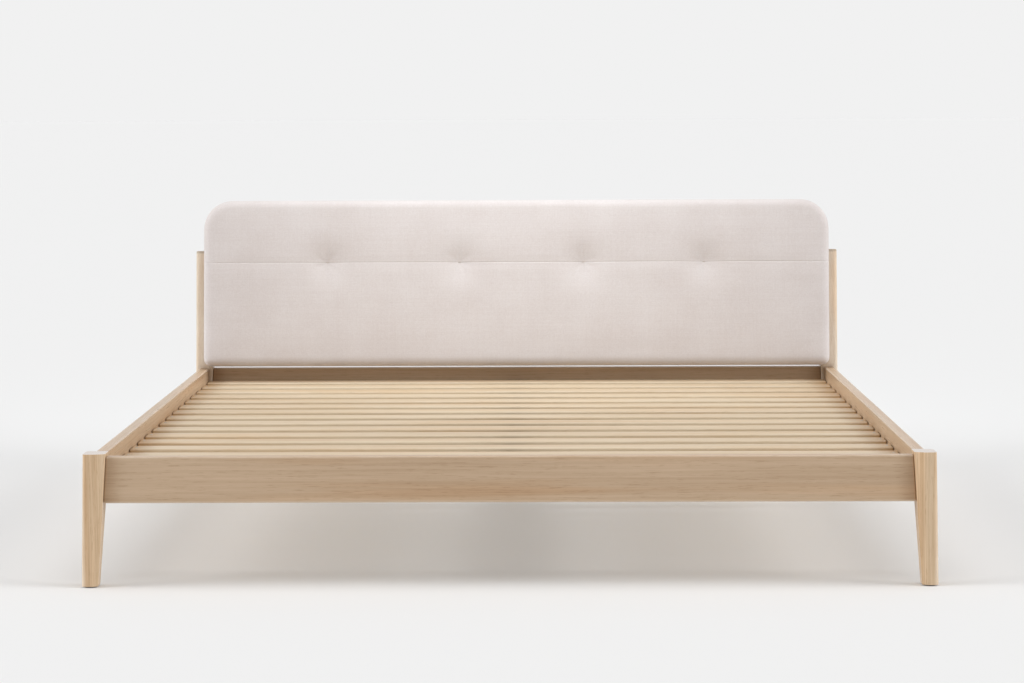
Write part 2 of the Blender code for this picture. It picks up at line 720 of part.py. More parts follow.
def cross_tenon_box(name, side, room):
    """The cross rail's stub tenon at one end, or with room the mortise for it."""
    half = HALF_WIDTH_TOP - POST_WIDTH
    low_x, high_x = in_order(side * (half - TENON_ROOT), side * (half + TENON_LENGTH + room))
    middle = (PANEL_BACK + GAP + cross_rail_back()) / 2
    half_y = CROSS_TENON_THICKNESS / 2 + room
    low = (low_x, middle - half_y, CROSS_RAIL_LOW + CROSS_TENON_SHOULDER - room)
    high = (high_x, middle + half_y, CROSS_RAIL_HIGH - CROSS_TENON_SHOULDER + room)
    helper = box_helper(name, low, high)
    helper.location = (0, PANEL_FRONT, PANEL_BASE)
    helper.rotation_euler = (-RAKE, 0, 0)
    return helper


make_foot_legs()
make_head_posts()
make_glides()
add_cross_bed_rail("foot_rail", FOOT_RAIL_FRONT)
add_cross_bed_rail("head_rail", HEAD_RAIL_FRONT)
for side_name, side_sign in SIDES.items():
    make_side_rail(side_name, side_sign)
    make_ledge(side_name, side_sign)
make_slats()
make_centre_beam()
make_hanger("foot", FOOT_RAIL_BACK, 1)
make_hanger("head", HEAD_RAIL_FRONT, -1)
make_headboard()
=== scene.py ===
"""The bed frame's looks: wood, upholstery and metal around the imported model, with a studio to show them in.

Lengths are in metres, in the model's own frame: +X right, +Y towards the headboard, +Z up.
"""

import json
import math
import random
from collections import namedtuple

import bmesh
import bpy
from mathutils import Euler, Matrix, Vector, noise


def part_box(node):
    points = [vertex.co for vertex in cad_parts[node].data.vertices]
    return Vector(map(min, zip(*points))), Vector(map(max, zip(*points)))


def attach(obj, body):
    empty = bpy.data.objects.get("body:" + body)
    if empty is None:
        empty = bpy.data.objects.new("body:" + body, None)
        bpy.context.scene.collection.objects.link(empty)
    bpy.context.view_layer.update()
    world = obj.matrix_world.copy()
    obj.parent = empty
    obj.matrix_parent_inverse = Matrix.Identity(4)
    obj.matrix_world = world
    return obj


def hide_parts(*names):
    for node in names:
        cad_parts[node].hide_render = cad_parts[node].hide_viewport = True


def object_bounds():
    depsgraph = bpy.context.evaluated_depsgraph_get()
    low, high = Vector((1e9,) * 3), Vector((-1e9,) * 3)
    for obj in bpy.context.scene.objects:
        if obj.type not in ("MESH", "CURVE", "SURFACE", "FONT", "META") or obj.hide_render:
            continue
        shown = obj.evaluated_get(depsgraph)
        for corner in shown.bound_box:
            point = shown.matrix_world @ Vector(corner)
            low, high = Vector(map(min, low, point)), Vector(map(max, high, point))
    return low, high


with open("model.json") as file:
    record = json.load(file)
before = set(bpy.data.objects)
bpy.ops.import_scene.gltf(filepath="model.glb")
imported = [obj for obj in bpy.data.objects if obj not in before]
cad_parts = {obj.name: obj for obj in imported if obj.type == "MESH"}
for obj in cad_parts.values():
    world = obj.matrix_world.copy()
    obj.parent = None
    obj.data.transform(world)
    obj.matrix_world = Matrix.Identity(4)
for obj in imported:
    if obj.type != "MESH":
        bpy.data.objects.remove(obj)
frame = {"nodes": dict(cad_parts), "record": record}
CAD_BOX = [list(corner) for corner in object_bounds()]
ROOT = "root"
NODES = frame["nodes"]
SLOTS = {part["node"]: part["material_slot"] for part in frame["record"]["subparts"]}
LOW, HIGH = (Vector(corner) for corner in CAD_BOX)

# Camera, about 6.4 m back from the foot end and 1.1 m above the floor
CAMERA_RIGHT = 0.068
CAMERA_DISTANCE = 6.372
CAMERA_HEIGHT = 1.077
CAMERA_PITCH = math.radians(4.76)
CAMERA_YAW = math.radians(-0.545)
CAMERA_ROLL = math.radians(-0.22)
CAMERA_LENS = 102.2
SENSOR_WIDTH = 36.0
CAMERA_CLIP_END = 500.0

# Studio
BACKDROP = 0.879
AMBIENT = 0.38
FLOOR_ALBEDO = 0.85
FLOOR_RADIUS = 150.0
FLOOR_SIDES = 96
SUNS = {  # azimuth, elevation and spread in degrees, and strength
    "top_light": (0, 78, 60, 0.98),
    "left_light": (280, 20, 35, 1.60),
    "right_light": (80, 20, 35, 1.60),
}
SOFTBOX_SIZE = (1.0, 0.5)
SOFTBOX_WATTS = 2.9
SOFTBOX_COLOUR = (0.92, 1.0, 1.05)
SOFTBOX_SPREAD = math.radians(60)
SOFTBOX_INSET = 0.3
SOFTBOX_HEIGHT = 2.3
SOFTBOX_AIM = 0.58

# Headboard, in the panel's own frame: X across, Y into the panel from its front, Z up along it
RAKE = math.radians(7.2)
PANEL_DEPTH = 0.0694
SEAM_HEIGHT = 0.3014
CORNER_RADIUS = 0.085
LOW_CORNER_RADIUS = 0.022
EDGE_RADIUS = 0.024
TUFT_PLACES = (-0.551, -0.165, 0.196, 0.549)
GRID_PITCH = 0.0095
FINE_PITCH = 0.0030
FINE_REACH = 0.020
EDGE_STEPS = 6
WALL_ROWS = 5
HEM_WIDTH = 0.026
CROWN = 0.004
CROWN_EDGE = 0.110
SEAM_VALLEY = 0.0022
SEAM_SOFTNESS = 0.014
SEAM_SINK = 0.0016
SEAM_LIP = -0.15
SEAM_ROW = 0.0016
RIPPLES = 7
RIPPLE_HEIGHT = 0.0004
RIPPLE_RADIUS = 0.024
RIPPLE_SPREAD = 0.016
RIPPLE_UNEVEN = 0.6
RIPPLE_TURN = 1.7
RIPPLE_GRAIN = 40
RIPPLE_STEP = 3.1
TUFT_DEPTH = 0.0150
TUFT_REACH_UP = 0.044
TUFT_REACH_DOWN = 0.050
TUFT_REACH_SIDE = 0.046
TUFT_FLARE = 0.7
CREASE_DEPTH = 0.0009
CREASE_WIDTH = 0.0035
CREASE_WANDER = 0.004
CREASE_GRAIN = 9
CREASE_STEP = 7.3
CREASE_FADE = 0.7
CREASE_START = 12
STITCH_RADIUS = 0.005
FOAM_GRIP = 0.6
HELD_DEPTH = EDGE_RADIUS * 0.98
SEWN_DEPTH = EDGE_RADIUS * 0.8
CLOTH_FRAMES = 20
MOST_MOVE = 0.008
CLOTH_SETTINGS = {
    "quality": 5,
    "mass": 0.3,
    "tension_stiffness": 40,
    "compression_stiffness": 15,
    "shear_stiffness": 10,
    "bending_stiffness": 0.5,
    "shrink_min": 0.006,
    "use_pressure": True,
    "uniform_pressure_force": 0.3,
    "pin_stiffness": 1.0,
}

# Hardware
SHARP_ANGLE = math.radians(32)
TURNED_SIDES = 48
BOLT_SEAT = 0.0938
SCREW_INSET = 0.011
LEDGE_SCREWS = 9
LEDGE_SCREW_INSET = 0.060
STAPLE_INSET = 0.0195
STAPLE_PITCH = 0.055
STAPLE_WIDTH = 0.0104
STAPLE_RADIUS = 0.00045
STAPLE_DEPTH = 0.0711
STAPLE_LEG = 0.004
STAPLE_SKEW = 0.12
STAPLE_SEED = 7
STAPLE_ROUND = 0.12
STAPLE_SHOULDER = 0.25
CROSS_WING = math.radians(12)
CROSS_CORE = 0.38
STITCH_STEPS = 8
STITCH_SEARCH = 0.01
STITCH_REACH = 0.8 * STITCH_RADIUS
STITCH_RISE = 0.0014
STITCH_BOW = 2.2
TWINE_RADIUS = 0.0009


def srgb(red, green, blue):
    """A linear colour with alpha from 0 to 255 display values."""
    values = [value / 255 for value in (red, green, blue)]
    return [v / 12.92 if v <= 0.04045 else ((v + 0.055) / 1.055) ** 2.4 for v in values] + [1.0]


# Finishes. A noise is (scale along X, Y and Z, detail, roughness), and in wood X is along the grain.
Wood = namedtuple("Wood", "light dark end_light end_dark contrast roughness ring_pitch soak wear")
GRAIN_TURNS = {"X": (0, 0, 0), "Y": (0, 0, math.radians(90)), "Z": (0, math.radians(90), 0)}
GRAIN_AXES = {"X": (1, 0, 0), "Y": (0, 1, 0), "Z": (0, 0, 1)}
WOOD_NOISE = {
    "wander": ((0.7, 2.0, 2.0), 2.0, 0.5),
    "fibres": ((5.0, 330.0, 330.0), 4.0, 0.65),
    "streaks": ((1.3, 95.0, 95.0), 3.0, 0.6),
    "pores": ((26.0, 700.0, 700.0), 2.0, 0.6),
    "clouds": ((1.6, 9.0, 9.0), 2.0, 0.5),
    "blush": ((1.1, 22.0, 22.0), 2.0, 0.5),
    "patches": ((12.0, 60.0, 60.0), 3.0, 0.6),
}
FABRIC_NOISE = {
    "drag": ((9.0, 9.0, 9.0), 2.0, 0.5),
    "yarn": ((130.0, 420.0, 900.0), 2.0, 0.6),
    "slub": ((900.0, 420.0, 130.0), 2.0, 0.6),
    "mottle": ((7.0, 7.0, 7.0), 3.0, 0.5),
    "bars": ((4.0, 50.0, 240.0), 2.0, 0.6),
    "stripes": ((240.0, 50.0, 5.0), 2.0, 0.6),
}
METAL_NOISE = {
    "cloud": ((28.0, 28.0, 28.0), 4.0, 0.6),
    "flecks": ((420.0, 420.0, 420.0), 2.0, 0.5),
}
PLASTIC_NOISE = {
    "pits": ((1500.0, 1500.0, 1500.0), 2.0, 0.6),
    "cloud": ((60.0, 60.0, 60.0), 3.0, 0.5),
}
ROLLING_ALONG, ROLLING_ACROSS = 8.0, 900.0
PITH_WANDER = 0.030
WOOD_IOR = 1.46
BLUSH = srgb(255, 246, 236)
# The pale tone of the edges: partly wear, partly painted highlight along them
HIGHLIT_WORN_WOOD = srgb(236, 222, 204)
# End darkening: how far from a board's ends its tone is deeper, and the tint there. On the rails, ledges and
# slats this is painted shade at the joints; on the posts it is a darker band at their ends
RAIL_END_SHADE = (0.070, srgb(214, 199, 179))
POST_END_DARKENING = (0.011, srgb(206, 203, 199))
# Pale edges, partly wear and partly painted highlight where light catches the rounded edges: how far from its
# long edges a board is paled, and how much. The next constant is how near the edges they are fully pale
HIGHLIGHT_WEAR_FULL = 0.0006
LEG_HIGHLIGHT_WEAR = (0.012, 0.75)
RAIL_HIGHLIGHT_WEAR = (0.0055, 0.40)
END_TONES = (srgb(196, 172, 142), srgb(168, 140, 108))
LEG_WOOD = Wood(
    light=srgb(226, 202, 171),
    dark=srgb(184, 153, 118),
    # The legs' sawn tops are pale grey-white: painted sheen, where light glances off them
    end_light=srgb(220, 211, 204),
    end_dark=srgb(202, 191, 182),
    contrast=0.85,
    roughness=0.31,
    ring_pitch=0.0042,
    soak=None,
    wear=LEG_HIGHLIGHT_WEAR,
)
# The posts' ash is paler than the legs': painted light, for the brighter light on them
LIT_POST_WOOD = LEG_WOOD._replace(
    light=srgb(232, 217, 198),
    dark=srgb(209, 189, 166),
    end_light=srgb(176, 161, 145),
    end_dark=srgb(156, 141, 125),
    contrast=0.80,
    soak=POST_END_DARKENING,
    wear=RAIL_HIGHLIGHT_WEAR,
)
# The rails' and ledges' ash is darker than the legs': painted shade, as of bedding above them
SHADED_RAIL_WOOD = LIT_POST_WOOD._replace(
    light=srgb(201, 175, 147),
    dark=srgb(165, 136, 105),
    end_light=END_TONES[0],
    end_dark=END_TONES[1],
    contrast=0.55,
    soak=RAIL_END_SHADE,
)
BIRCH = SHADED_RAIL_WOOD._replace(
    light=srgb(226, 208, 180),
    dark=srgb(200, 175, 142),
    contrast=0.80,
    roughness=0.42,
    ring_pitch=0.005,
)
FABRIC_LIGHT = srgb(222, 215, 213)
FABRIC_SHADE = srgb(205, 194, 190)
WEAVE_WANDER = 0.0012


# Shader nodes
class Nodes:
    """A short way to write node trees: each method adds a node and returns its output."""

    def __init__(self, tree):
        self.tree = tree

    def add(self, kind, output=0, settings=None, **inputs):
        """Adds a node. An input is named by its socket, or by i and its number."""
        node = self.tree.nodes.new(kind)
        for key, value in (settings or {}).items():
            setattr(node, key, value)
        for key, value in inputs.items():
            self.feed(node.inputs[int(key[1:]) if key[1:].isdigit() else key], value)
        return node.outputs[output]

    def feed(self, socket, value):
        if isinstance(value, bpy.types.NodeSocket):
            self.tree.links.new(value, socket)
        else:
            socket.default_value = value

    def math(self, operation, first, second=0.0, third=0.0):
        return self.add("ShaderNodeMath", 0, {"operation": operation}, i0=first, i1=second, i2=third)

    def vector(self, operation, first, second=(0, 0, 0)):
        output = 1 if operation in ("DOT_PRODUCT", "LENGTH") else 0
        return self.add("ShaderNodeVectorMath", output, {"operation": operation}, i0=first, i1=second)

    def noise(self, place, kind, output=0):
        """Noise of one kind; output 1 is its colour, whose channels serve as three noises."""
        scale, detail, roughness = kind
        spread = self.vector("MULTIPLY", place, scale)
        return self.add(
            "ShaderNodeTexNoise", output, Vector=spread, Scale=1.0, Detail=detail, Roughness=roughness
        )

    def remap(self, value, low, high, to_low=0.0, to_high=1.0, interpolation="SMOOTHSTEP"):
        settings = {"interpolation_type": interpolation}
        return self.add(
            "ShaderNodeMapRange", 0, settings, i0=value, i1=low, i2=high, i3=to_low, i4=to_high
        )

    def mix(self, share, first, second, blend="MIX"):
        settings = {"data_type": "RGBA", "blend_type": blend}
        return self.add("ShaderNodeMix", 2, settings, i0=share, i6=first, i7=second)

    def bump(self, height, strength, distance):
        return self.add("ShaderNodeBump", Height=height, Strength=strength, Distance=distance)


def new_material(name):
    """(material, its Nodes, its Principled shader)."""
    material = bpy.data.materials.new(name)
    material.use_nodes = True
    tree = material.node_tree
    return material, Nodes(tree), tree.nodes["Principled BSDF"]


def object_place(n):
    """The point in the piece's own frame."""
    return n.add("ShaderNodeTexCoord", 3)


def object_facing(n):
    """The surface's normal in the piece's own frame."""
    return n.add("ShaderNodeTexCoord", 1)


# Materials
def inset_from(n, along, box, index):
    """How far a point is inside the nearer of a box's two sides on one axis."""
    from_low = n.math("SUBTRACT", along, box[0][index])
    from_high = n.math("SUBTRACT", box[1][index], along)
    return n.math("MINIMUM", from_low, from_high)


def edge_mask(n, place, box, grain, reach):
    """1 along the long edges of a board that fills this box, 0 on its faces."""
    axes = n.add("ShaderNodeSeparateXYZ", Vector=place).node
    highlit_worn = 1.0
    for index, axis in enumerate("XYZ"):
        if axis != grain:
            inset = inset_from(n, axes.outputs[index], box, index)
            highlit_worn = n.math("MULTIPLY", n.remap(inset, reach, HIGHLIGHT_WEAR_FULL), highlit_worn)
    return highlit_worn


def end_mask(n, place, box, grain, reach):
    """1 at both ends of a board, fading out along its grain."""
    index = "XYZ".index(grain)
    along = n.add("ShaderNodeSeparateXYZ", index, Vector=place)
    return n.remap(inset_from(n, along, box, index), reach, 0.0)


def growth_rings(n, turned, local, pitch, rng):
    """Rings round a pith that runs beside the board and wanders slowly along it: 0 pale, 1 dark."""
    wander = n.noise(local, WOOD_NOISE["wander"], 1)
    swing = n.vector("SUBTRACT", wander, (0.5, 0.5, 0.5))
    drift = n.vector("MULTIPLY", swing, (0.0, PITH_WANDER, PITH_WANDER))
    pith = (0.0, rng.uniform(0.16, 0.24), rng.uniform(-0.30, -0.20))
    across = n.vector("SUBTRACT", n.vector("ADD", turned, drift), pith)
    radius = n.vector("LENGTH", n.vector("MULTIPLY", across, (0.0, 1.0, 1.0)))
    phase = n.math("FRACT", n.math("DIVIDE", radius, pitch))
    return n.math("MULTIPLY", n.remap(phase, 0.10, 0.90), n.remap(phase, 1.0, 0.92))


def make_wood(name, grain, wood, seed, box):
    """Solid timber whose grain runs along one axis: rings, fibres, pores, sawn ends in a tone of their own
    (on the legs a painted sheen), ends darkened where set (painted shade on the rails, ledges and slats), and
    pale edges that are partly wear and partly painted highlight.
    """
    material, n, shader = new_material(name)
    place = object_place(n)
    turned = n.add("ShaderNodeMapping", Vector=place, Rotation=GRAIN_TURNS[grain])
    rng = random.Random(seed)
    local = n.vector("ADD", turned, [rng.uniform(-5, 5) for _ in range(3)])
    ring = growth_rings(n, turned, local, wood.ring_pitch, rng)
    fibres = n.noise(local, WOOD_NOISE["fibres"])
    streaks = n.noise(local, WOOD_NOISE["streaks"])
    pore = n.remap(n.noise(local, WOOD_NOISE["pores"]), 0.59, 0.68)
    cloud = n.remap(n.noise(local, WOOD_NOISE["clouds"]), 0.32, 0.68)
    tone = n.math("MULTIPLY", ring, 0.18 * wood.contrast)
    tone = n.math("MULTIPLY_ADD", n.remap(fibres, 0.32, 0.68), 0.34 * wood.contrast, tone)
    tone = n.math("MULTIPLY_ADD", n.remap(streaks, 0.34, 0.66), 0.40 * wood.contrast, tone)
    tone = n.math("MULTIPLY_ADD", cloud, 0.30 * wood.contrast, tone)
    tone = n.math("MULTIPLY_ADD", pore, 0.42, tone)
    colour = n.mix(tone, wood.light, wood.dark)
    blush = n.remap(n.noise(local, WOOD_NOISE["blush"]), 0.45, 0.70)
    colour = n.mix(blush, colour, n.mix(1.0, colour, BLUSH, "MULTIPLY"))
    # Darker towards both ends: painted shade at the joints of rails, ledges and slats, and a darker band at
    # the ends of the posts
    if wood.soak:
        reach, tint = wood.soak
        deeper = n.mix(1.0, colour, tint, "MULTIPLY")
        colour = n.mix(end_mask(n, place, box, grain, reach), colour, deeper)
    # Pale long edges: partly wear, partly painted highlight where light catches the rounded edges; on the
    # legs' wide corners it is mostly painted highlight
    highlight_wear_reach, highlight_wear_strength = wood.wear
    patches = n.remap(n.noise(local, WOOD_NOISE["patches"]), 0.35, 0.60)
    highlit_worn = edge_mask(n, place, box, grain, highlight_wear_reach)
    highlit_worn = n.math("MULTIPLY", highlit_worn, n.math("MULTIPLY_ADD", patches, 0.55, 0.45))
    colour = n.mix(n.math("MULTIPLY", highlit_worn, highlight_wear_strength), colour, HIGHLIT_WORN_WOOD)
    # Sawn ends show the rings as arcs, in a tone of their own. On the legs that tone is pale: painted sheen
    # on their tops
    along = n.vector("DOT_PRODUCT", object_facing(n), GRAIN_AXES[grain])
    sawn = n.remap(n.math("ABSOLUTE", along), 0.80, 0.97)
    end_tone = n.math("MULTIPLY_ADD", ring, 0.55, n.math("MULTIPLY", cloud, 0.35))
    colour = n.mix(sawn, colour, n.mix(end_tone, wood.end_light, wood.end_dark))
    n.feed(shader.inputs["Base Color"], colour)
    rough = n.remap(fibres, 0.2, 0.8, wood.roughness - 0.06, wood.roughness + 0.08)
    n.feed(shader.inputs["Roughness"], n.math("MULTIPLY_ADD", highlit_worn, -0.10, rough))
    relief = n.math("MULTIPLY_ADD", fibres, 0.4, n.math("MULTIPLY", pore, -0.6))
    n.feed(shader.inputs["Normal"], n.bump(relief, 0.22, 0.0005))
    shader.inputs["IOR"].default_value = WOOD_IOR
    return material


def weave_height(n, place, thread):
    """Threads over and under each other, seen from whichever axis the surface faces: -1 to 1."""
    drag = n.vector("SUBTRACT", n.noise(place, FABRIC_NOISE["drag"], 1), (0.5, 0.5, 0.5))
    uneven = n.vector("ADD", place, n.vector("MULTIPLY", drag, (WEAVE_WANDER,) * 3))
    turns = n.vector("MULTIPLY", uneven, (math.pi / thread,) * 3)
    axes = n.add("ShaderNodeSeparateXYZ", Vector=turns).node
    sides = n.add("ShaderNodeSeparateXYZ", Vector=n.vector("ABSOLUTE", object_facing(n))).node
    waves = [n.math("SINE", axes.outputs[index]) for index in range(3)]
    height = 0.0
    for (first, second), side in zip(((1, 2), (0, 2), (0, 1)), sides.outputs):
        weave = n.math("MULTIPLY", waves[first], waves[second])
        height = n.math("MULTIPLY_ADD", weave, n.remap(side, 0.55, 0.75), height)
    return height


def make_fabric(name, base, shade, thread=0.0011, fuzz=0.35, sheen=0.35):
    """Plain-woven cloth with a heathered yarn, thick and thin places and faint bars, and painted shade in the
    weave's hollows.
    """
    material, n, shader = new_material(name)
    place = object_place(n)
    height = weave_height(n, place, thread)
    yarn, slub, mottle, bars, stripes = (
        n.noise(place, FABRIC_NOISE[kind]) for kind in ("yarn", "slub", "mottle", "bars", "stripes")
    )
    heather = n.math("ADD", n.math("MULTIPLY", yarn, 0.5), n.math("MULTIPLY", slub, 0.5))
    tone = n.math("MULTIPLY_ADD", n.remap(heather, 0.35, 0.65), 0.45, n.remap(mottle, 0.3, 0.7, 0.0, 0.25))
    # Threads that dip under others are darker: painted shade in the weave's hollows
    tone = n.math("MULTIPLY_ADD", n.remap(height, -1.0, 1.0), -0.25, n.math("ADD", tone, 0.05))
    tone = n.math("MULTIPLY_ADD", n.remap(bars, 0.35, 0.65), 0.11, tone)
    tone = n.math("MULTIPLY_ADD", n.remap(stripes, 0.35, 0.65), 0.07, tone)
    n.feed(shader.inputs["Base Color"], n.mix(tone, base, shade))
    n.feed(shader.inputs["Roughness"], n.remap(heather, 0.3, 0.7, 0.84, 0.96))
    n.feed(shader.inputs["Normal"], n.bump(n.math("MULTIPLY_ADD", heather, fuzz, height), 0.35, 0.00022))
    shader.inputs["Sheen Weight"].default_value = sheen
    shader.inputs["Sheen Roughness"].default_value = 0.45
    shader.inputs["Specular IOR Level"].default_value = 0.25
    return material


def make_metal(name, colour, roughness, metallic, rolled, speckle):
    """Plated or painted steel with fine rolling lines along one axis, clouds and flecks."""
    material, n, shader = new_material(name)
    place = object_place(n)
    stretch = [ROLLING_ALONG if axis == rolled else ROLLING_ACROSS for axis in "XYZ"]
    lines = n.noise(place, (stretch, 3.0, 0.6))
    cloud = n.noise(place, METAL_NOISE["cloud"])
    flecks = n.remap(n.noise(place, METAL_NOISE["flecks"]), 0.62, 0.72)
    darker = [channel * 0.80 for channel in colour[:3]] + [1.0]
    tint = n.mix(n.remap(cloud, 0.3, 0.7), darker, colour)
    n.feed(shader.inputs["Base Color"], n.mix(n.math("MULTIPLY", flecks, speckle), tint, darker))
    n.feed(shader.inputs["Roughness"], n.remap(cloud, 0.25, 0.75, roughness - 0.05, roughness + 0.12))
    shader.inputs["Metallic"].default_value = metallic
    relief = n.math("MULTIPLY_ADD", flecks, speckle, n.math("MULTIPLY", lines, 0.4))
    n.feed(shader.inputs["Normal"], n.bump(relief, 0.15, 0.0002))
    return material


def make_plastic(name, colour, roughness):
    """Moulded plastic with a fine spark-eroded texture."""
    material, n, shader = new_material(name)
    place = object_place(n)
    pits = n.noise(place, PLASTIC_NOISE["pits"])
    cloud = n.noise(place, PLASTIC_NOISE["cloud"])
    lighter = [min(1.0, channel * 1.25) for channel in colour[:3]] + [1.0]
    n.feed(shader.inputs["Base Color"], n.mix(n.remap(cloud, 0.3, 0.7), colour, lighter))
    n.feed(shader.inputs["Roughness"], n.remap(pits, 0.3, 0.7, roughness - 0.06, roughness + 0.10))
    n.feed(shader.inputs["Normal"], n.bump(pits, 0.25, 0.0002))
    return material


def paint(obj, material):
    """Gives every slot of an object this material."""
    if not obj.material_slots:
        obj.data.materials.append(material)
    for slot in obj.material_slots:
        slot.link = "OBJECT"
        slot.material = material


def make_shared_materials():
    """The finishes that several pieces share, by the record's material slot."""
    return {
        "zinc_steel": make_metal("zinc_plate", srgb(196, 197, 196), 0.30, 1.0, "Z", 0.35),
        "black_steel": make_metal("black_powder_coat", srgb(38, 38, 40), 0.48, 0.0, "Y", 0.9),
        "glide_plastic": make_plastic("glide_nylon", srgb(92, 82, 70), 0.55),
        "dust_cloth": make_fabric("dust_cloth", srgb(150, 142, 134), srgb(118, 110, 102), 0.0016, 0.8, 0.1),
        "cord": make_fabric("twine", srgb(214, 204, 196), srgb(180, 164, 150), 0.0008, 0.8, 0.1),
    }


def chosen(table, name, otherwise):
    """The table's value for the family of pieces whose names start like this one."""
    return next((value for start, value in table.items() if name.startswith(start)), otherwise)


def paint_nodes(shared):
    """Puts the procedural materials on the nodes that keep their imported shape."""
    grains = {"foot_leg": "Z", "head_post": "Z", "side_rail": "Y", "slat_ledge": "Y"}
    woods = {"foot_leg": LEG_WOOD, "head_post": LIT_POST_WOOD}
    for seed, (name, obj) in enumerate(sorted(NODES.items())):
        slot = SLOTS[name]
        if slot in ("ash", "birch"):
            wood = BIRCH if slot == "birch" else chosen(woods, name, SHADED_RAIL_WOOD)
            grain = chosen(grains, name, "X")
            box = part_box(name)
            paint(obj, make_wood(f"{slot}_{name}", grain, wood, seed, box))
        elif slot in shared:
            paint(obj, shared[slot])


# Headboard pad
COVER_LOW, COVER_HIGH = (Vector(corner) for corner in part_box("headboard_cover"))
PANEL_WIDTH = COVER_HIGH.x - COVER_LOW.x
TILT_SIN, TILT_COS = math.sin(RAKE), math.cos(RAKE)
TALL = COVER_HIGH.z - COVER_LOW.z - EDGE_RADIUS * (1 - TILT_SIN) - PANEL_DEPTH * TILT_SIN
PANEL_HEIGHT = TALL / TILT_COS + EDGE_RADIUS
PANEL_ORIGIN = Vector(
    (
        0,
        COVER_HIGH.y - PANEL_DEPTH * TILT_COS - PANEL_HEIGHT * TILT_SIN,
        COVER_LOW.z + PANEL_DEPTH * TILT_SIN,
    )
)
PANEL_PLACE = Matrix.Translation(PANEL_ORIGIN) @ Euler((-RAKE, 0, 0)).to_matrix().to_4x4()


def graded(start, end, fine_places):
    """Positions from start to end, close together near each of the fine places."""
    places = [start]
    while places[-1] < end:
        near = min(abs(places[-1] - place) for place in fine_places)
        share = min(1.0, max(0.0, (near - FINE_REACH) / (2 * FINE_REACH)))
        places.append(places[-1] + FINE_PITCH + (GRID_PITCH - FINE_PITCH) * share)
    stretch = (end - start) / (places[-1] - start)
    return [start + (place - start) * stretch for place in places]


def edge_curve():
    """Distances from the outline to the flat of the front, as steps round the quarter-round edge."""
    quarter = math.radians(90)
    return [EDGE_RADIUS * (1 - math.cos(quarter * k / EDGE_STEPS)) for k in range(EDGE_STEPS)]


def grid_columns():
    half = PANEL_WIDTH / 2
    curve = edge_curve()
    flat = graded(EDGE_RADIUS - half, half - EDGE_RADIUS, TUFT_PLACES)
    return [d - half for d in curve] + flat + [half - d for d in reversed(curve)]


def seam_steps(length):
    """Distances from the seam: a narrow row that turns into the seam, then rows that widen."""
    return [0.0] + graded(SEAM_ROW, length, [0.0])


def grid_rows():
    """(the rows' heights, the seam's row)."""
    curve = edge_curve()
    top = PANEL_HEIGHT - EDGE_RADIUS
    above = seam_steps(top - SEAM_HEIGHT)
    below = seam_steps(SEAM_HEIGHT - EDGE_RADIUS)
    low = curve + [SEAM_HEIGHT - d for d in reversed(below[1:])]
    high = [SEAM_HEIGHT + d for d in above] + [PANEL_HEIGHT - d for d in reversed(curve)]
    return low + high, len(low)


def round_corner(x, z):
    """Moves a point of the square grid so that the panel's corners come out round."""
    half = PANEL_WIDTH / 2
    side = math.copysign(1, x)
    high = (CORNER_RADIUS, PANEL_HEIGHT - CORNER_RADIUS, 1)
    low = (LOW_CORNER_RADIUS, LOW_CORNER_RADIUS, -1)
    for radius, centre_z, up in (high, low):
        dx = side * x - (half - radius)
        dz = up * (z - centre_z)
        if dx > 0 and dz > 0:
            far = math.hypot(dx, dz)
            reach = max(dx, dz)
            return side * (half - radius + dx / far * reach), centre_z + up * dz / far * reach
    return x, z


def edge_drop(x, z):
    """How far the surface falls away from the front at a grid point, round the edge."""
    inset = min(PANEL_WIDTH / 2 - abs(x), z, PANEL_HEIGHT - z)
    if inset >= EDGE_RADIUS:
        return 0.0
    share = (EDGE_RADIUS - inset) / EDGE_RADIUS
    return EDGE_RADIUS * (1 - math.sqrt(max(0.0, 1 - share * share)))


def eased(share):
    share = min(1.0, max(0.0, share))
    return share * share * (3 - 2 * share)


def foam_relief(x, z):
    """The stuffed shape over the flat front: two crowned rolls that meet at the seam, and the tufts."""
    rise = z - SEAM_HEIGHT
    room = PANEL_HEIGHT - SEAM_HEIGHT if rise > 0 else SEAM_HEIGHT
    span = min(1.0, abs(rise) / room)
    edge = eased((PANEL_WIDTH / 2 - abs(x)) / CROWN_EDGE) * eased(min(z, PANEL_HEIGHT - z) / CROWN_EDGE)
    crown = CROWN * edge * (1 - math.exp(-((rise / SEAM_SOFTNESS) ** 2)) * SEAM_VALLEY / CROWN)
    reach = TUFT_REACH_UP if rise > 0 else TUFT_REACH_DOWN
    dip = 0.0
    for place in TUFT_PLACES:
        sideways = (x - place) / (TUFT_REACH_SIDE * (1 + TUFT_FLARE * span))
        dip += TUFT_DEPTH * math.exp(-math.hypot(sideways, rise / reach) ** 2)
    return dip - crown


